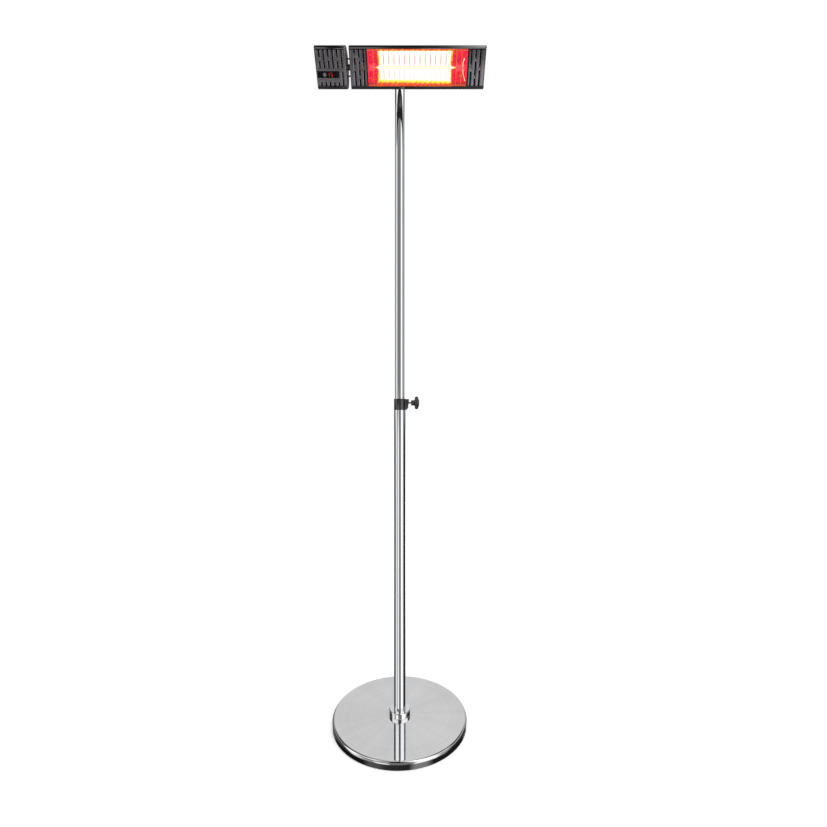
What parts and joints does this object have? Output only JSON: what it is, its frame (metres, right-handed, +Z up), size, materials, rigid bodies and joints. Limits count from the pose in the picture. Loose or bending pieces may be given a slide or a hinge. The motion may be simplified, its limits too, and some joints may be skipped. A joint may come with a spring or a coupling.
{
  "type": "infrared patio heater",
  "caption": "Freestanding infrared patio heater: weighted round base, telescopic pole with clamp knob, and a tilting lamp head with control box.",
  "frame": {"origin": "centre of the base's underside, on the floor under the pole's axis", "axes": "+Z up along the pole, -Y the way the lamp faces, +X the heater's left-hand side as it faces (the picture's right)"},
  "size_m": [0.5664, 0.48, 2.349],
  "materials": {
    "rubber": "matt black sheet",
    "zinc_steel": "bright zinc",
    "cast_weight": "painted casting",
    "spun_steel": "spun brushed stainless",
    "polished_tube": "polished stainless",
    "polished_ring": "mirror polished",
    "black_plastic": "moulded, fine texture",
    "brass": "machined",
    "black_steel": "black powder coat",
    "fibre": "hard fibre",
    "black_aluminium": "satin black coat",
    "grey_panel": "dark grey metallic coat",
    "glowing_reflector": "polished, lit by the lamp",
    "glowing_end": "lit red by the lamp",
    "quartz": "clear quartz",
    "hot_filament": "glowing tungsten",
    "ceramic": "steatite",
    "nickel_wire": "bare wire",
    "guard_wire": "heat-tinted wire",
    "bronze_cap": "warm grey metallic coat",
    "black_gloss": "glossy display window",
    "red_digits": "lit red segments",
    "board_green": "solder mask",
    "relay_blue": "moulded case",
    "grey_button": "satin grey"
  },
  "bodies": {
    "stand": {"base_mat": "rubber", "base_plate": "zinc_steel", "plate_screws": "zinc_steel", "base_weight": "cast_weight", "base_cover": "spun_steel", "base_washer": "zinc_steel", "base_bolt": "zinc_steel", "tube_foot": "zinc_steel", "lower_tube": "polished_tube", "base_collar": "polished_ring", "clamp_collar": "black_plastic", "clamp_insert": "brass"},
    "clamp_screw": {"clamp_screw": "black_steel", "clamp_pad": "brass", "clamp_knob": "black_plastic"},
    "guide": {"guide_bush": "black_plastic"},
    "mast": {"mast_end_plug": "black_plastic", "stop_ring": "zinc_steel", "upper_tube": "polished_tube", "mast_cap": "black_plastic", "tilt_bracket": "black_steel", "bracket_bolts": "zinc_steel", "bracket_nuts": "zinc_steel", "tilt_nut": "zinc_steel"},
    "tilt_screw": {"tilt_bolt": "zinc_steel", "tilt_knob": "black_plastic"},
    "head": {"tilt_lug": "black_steel", "lug_screws": "zinc_steel", "friction_washers": "fibre", "head_shell": "black_aluminium", "head_end_left": "black_aluminium", "head_end_right": "black_aluminium", "panel_left": "grey_panel", "panel_right": "grey_panel", "reflector": "glowing_reflector", "reflector_ends": "glowing_end", "lamp_tube": "quartz", "lamp_filament": "hot_filament", "lamp_holders": "ceramic", "lamp_leads": "nickel_wire", "guard_grille": "guard_wire", "terminal_block": "ceramic", "link_conduit": "black_plastic", "link_studs": "black_steel", "link_nuts": "zinc_steel", "box_shell": "black_aluminium", "box_end_left": "black_aluminium", "box_end_right": "bronze_cap", "box_front": "grey_panel", "display_window": "black_gloss", "display_digits": "red_digits", "display_module": "black_plastic", "circuit_board": "board_green", "board_standoffs": "zinc_steel", "relay": "relay_blue", "end_screws": "black_steel", "cable_gland": "black_plastic", "gland_nut": "black_plastic"},
    "power_button": {"power_button": "grey_button"}
  },
  "joints": [
    {"name": "mast_height", "type": "slide", "parent": "stand", "child": "guide", "axis": [0, 0, 1], "range_m": [-0.9, 0]},
    {"name": "mast_swivel", "type": "hinge", "parent": "guide", "child": "mast", "pos_m": [0, 0, 1.1], "axis": [0, 0, 1], "continuous": true},
    {"name": "head_tilt", "type": "hinge", "parent": "mast", "child": "head", "pos_m": [0, -0.055, 2.324], "axis": [1, 0, 0], "range_deg": [-40, 20]},
    {"name": "clamp_knob_turn", "type": "hinge", "parent": "stand", "child": "clamp_screw", "pos_m": [0, 0, 1.1475], "axis": [1, 0, 0], "range_deg": [0, 720]},
    {"name": "tilt_knob_turn", "type": "hinge", "parent": "mast", "child": "tilt_screw", "pos_m": [0, -0.055, 2.324], "axis": [1, 0, 0], "range_deg": [0, 360]},
    {"name": "power_press", "type": "slide", "parent": "head", "child": "power_button", "axis": [0, 0.766, 0.6428], "range_m": [0, 0.0015], "stiffness_N_per_m": 400}
  ]
}
